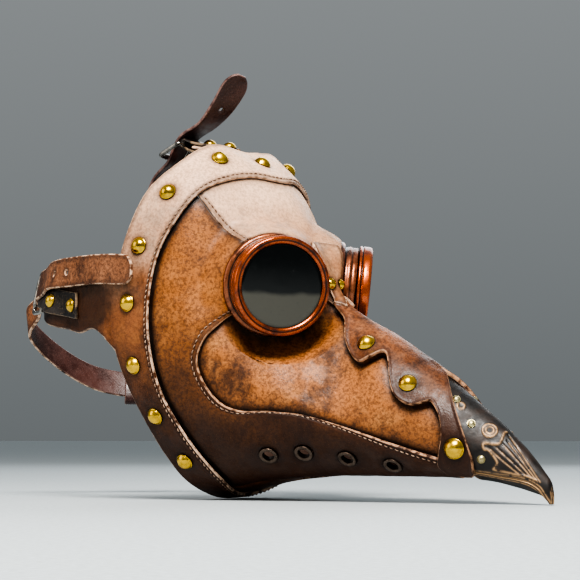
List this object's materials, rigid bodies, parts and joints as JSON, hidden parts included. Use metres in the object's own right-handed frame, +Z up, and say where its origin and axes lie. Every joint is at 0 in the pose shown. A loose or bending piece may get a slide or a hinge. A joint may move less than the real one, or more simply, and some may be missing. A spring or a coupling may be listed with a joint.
{
  "type": "plague doctor mask",
  "caption": "Beaked leather mask with round screw-rim eyepieces, a riveted rim band, a rigid beak tip and buckled straps round the head.",
  "frame": {"origin": "on the surface the mask rests on, under the middle of its box", "axes": "+X forward along the beak, +Y to the wearer's left, +Z up"},
  "size_m": [0.3982, 0.1759, 0.2784],
  "materials": {
    "tan_leather": "distressed suede-grain leather, tan with pale worn crown",
    "brown_leather": "distressed brown leather, mottled",
    "dark_strap_leather": "smooth dark brown strap leather, slight sheen",
    "black_tab_leather": "near-black leather with worn edges",
    "antique_copper": "antique copper lacquer on light alloy, dark wear, gloss",
    "dark_lens": "near-black tinted gloss lens",
    "gasket_rubber": "matte black",
    "brass": "polished antique brass",
    "eyelet_metal": "dark antique nickel plate",
    "dark_steel": "dark antique plate with bright worn edges",
    "bronzed_tip": "moulded black-brown shell with bronze edge wear"
  },
  "bodies": {
    "mask": {"rim_band": "tan_leather", "forehead_panel": "brown_leather", "cheek_panel_right": "brown_leather", "cheek_panel_left": "brown_leather", "beak_side_right": "brown_leather", "beak_side_left": "brown_leather", "beak_underside": "brown_leather", "nose_bridge_strip": "brown_leather", "ridge_strip": "brown_leather", "beak_tip_upper": "bronzed_tip", "beak_tip_lower": "bronzed_tip", "eyepiece_base_right": "antique_copper", "eyepiece_clamp_right": "dark_steel", "eyepiece_base_left": "antique_copper", "eyepiece_clamp_left": "dark_steel", "rim_rivets": "brass", "ridge_rivets": "brass", "collar_rivets": "brass", "bridge_rivets": "brass", "tip_studs": "brass", "vent_eyelets_right": "eyelet_metal", "vent_eyelets_left": "eyelet_metal", "rear_buckle_tab": "black_tab_leather", "rear_strap": "dark_strap_leather", "rear_tab_rivets": "brass", "far_ear_rivets": "brass", "top_buckle_tab": "black_tab_leather", "top_strap": "dark_strap_leather", "top_tab_rivets": "brass"},
    "lens_unit_right": {"eyepiece_gasket_right": "gasket_rubber", "eyepiece_lens_right": "dark_lens"},
    "bezel_right": {"eyepiece_bezel_right": "antique_copper"},
    "lens_unit_left": {"eyepiece_gasket_left": "gasket_rubber", "eyepiece_lens_left": "dark_lens"},
    "bezel_left": {"eyepiece_bezel_left": "antique_copper"},
    "rear_frame": {"rear_buckle_frame": "dark_steel"},
    "rear_prong": {"rear_buckle_prong": "dark_steel"},
    "top_frame": {"top_buckle_frame": "dark_steel"},
    "top_prong": {"top_buckle_prong": "dark_steel"}
  },
  "joints": [
    {"name": "lens_slide_right", "type": "slide", "parent": "mask", "child": "lens_unit_right", "axis": [0.8046, -0.5846, -0.1045], "range_m": [0, 0.003]},
    {"name": "bezel_turn_right", "type": "hinge", "parent": "lens_unit_right", "child": "bezel_right", "pos_m": [0.03386, -0.04341, 0.13295], "axis": [0.8046, -0.5846, -0.1045], "range_deg": [0, 540]},
    {"name": "lens_slide_left", "type": "slide", "parent": "mask", "child": "lens_unit_left", "axis": [0.8046, 0.5846, -0.1045], "range_m": [0, 0.003]},
    {"name": "bezel_turn_left", "type": "hinge", "parent": "lens_unit_left", "child": "bezel_left", "pos_m": [0.03386, 0.04341, 0.13295], "axis": [0.8046, 0.5846, -0.1045], "range_deg": [0, 540]},
    {"name": "rear_frame_swing", "type": "hinge", "parent": "mask", "child": "rear_frame", "pos_m": [-0.155, -0.0505, 0.137], "axis": [0.104, 0.1801, 0.9781], "range_deg": [0, 30]},
    {"name": "rear_prong_swing", "type": "hinge", "parent": "mask", "child": "rear_prong", "pos_m": [-0.155, -0.0505, 0.137], "axis": [0.104, 0.1801, 0.9781], "range_deg": [-70, 0]},
    {"name": "top_frame_swing", "type": "hinge", "parent": "mask", "child": "top_frame", "pos_m": [-0.071, 0, 0.2345], "axis": [0, 1, 0], "range_deg": [0, 30]},
    {"name": "top_prong_swing", "type": "hinge", "parent": "mask", "child": "top_prong", "pos_m": [-0.071, 0, 0.2345], "axis": [0, 1, 0], "range_deg": [-55, 0]}
  ],
  "couplings": [
    {"joint": "lens_slide_right", "follows": "bezel_turn_right", "m_per_rad": 0.0003183},
    {"joint": "lens_slide_left", "follows": "bezel_turn_left", "m_per_rad": 0.0003183}
  ]
}
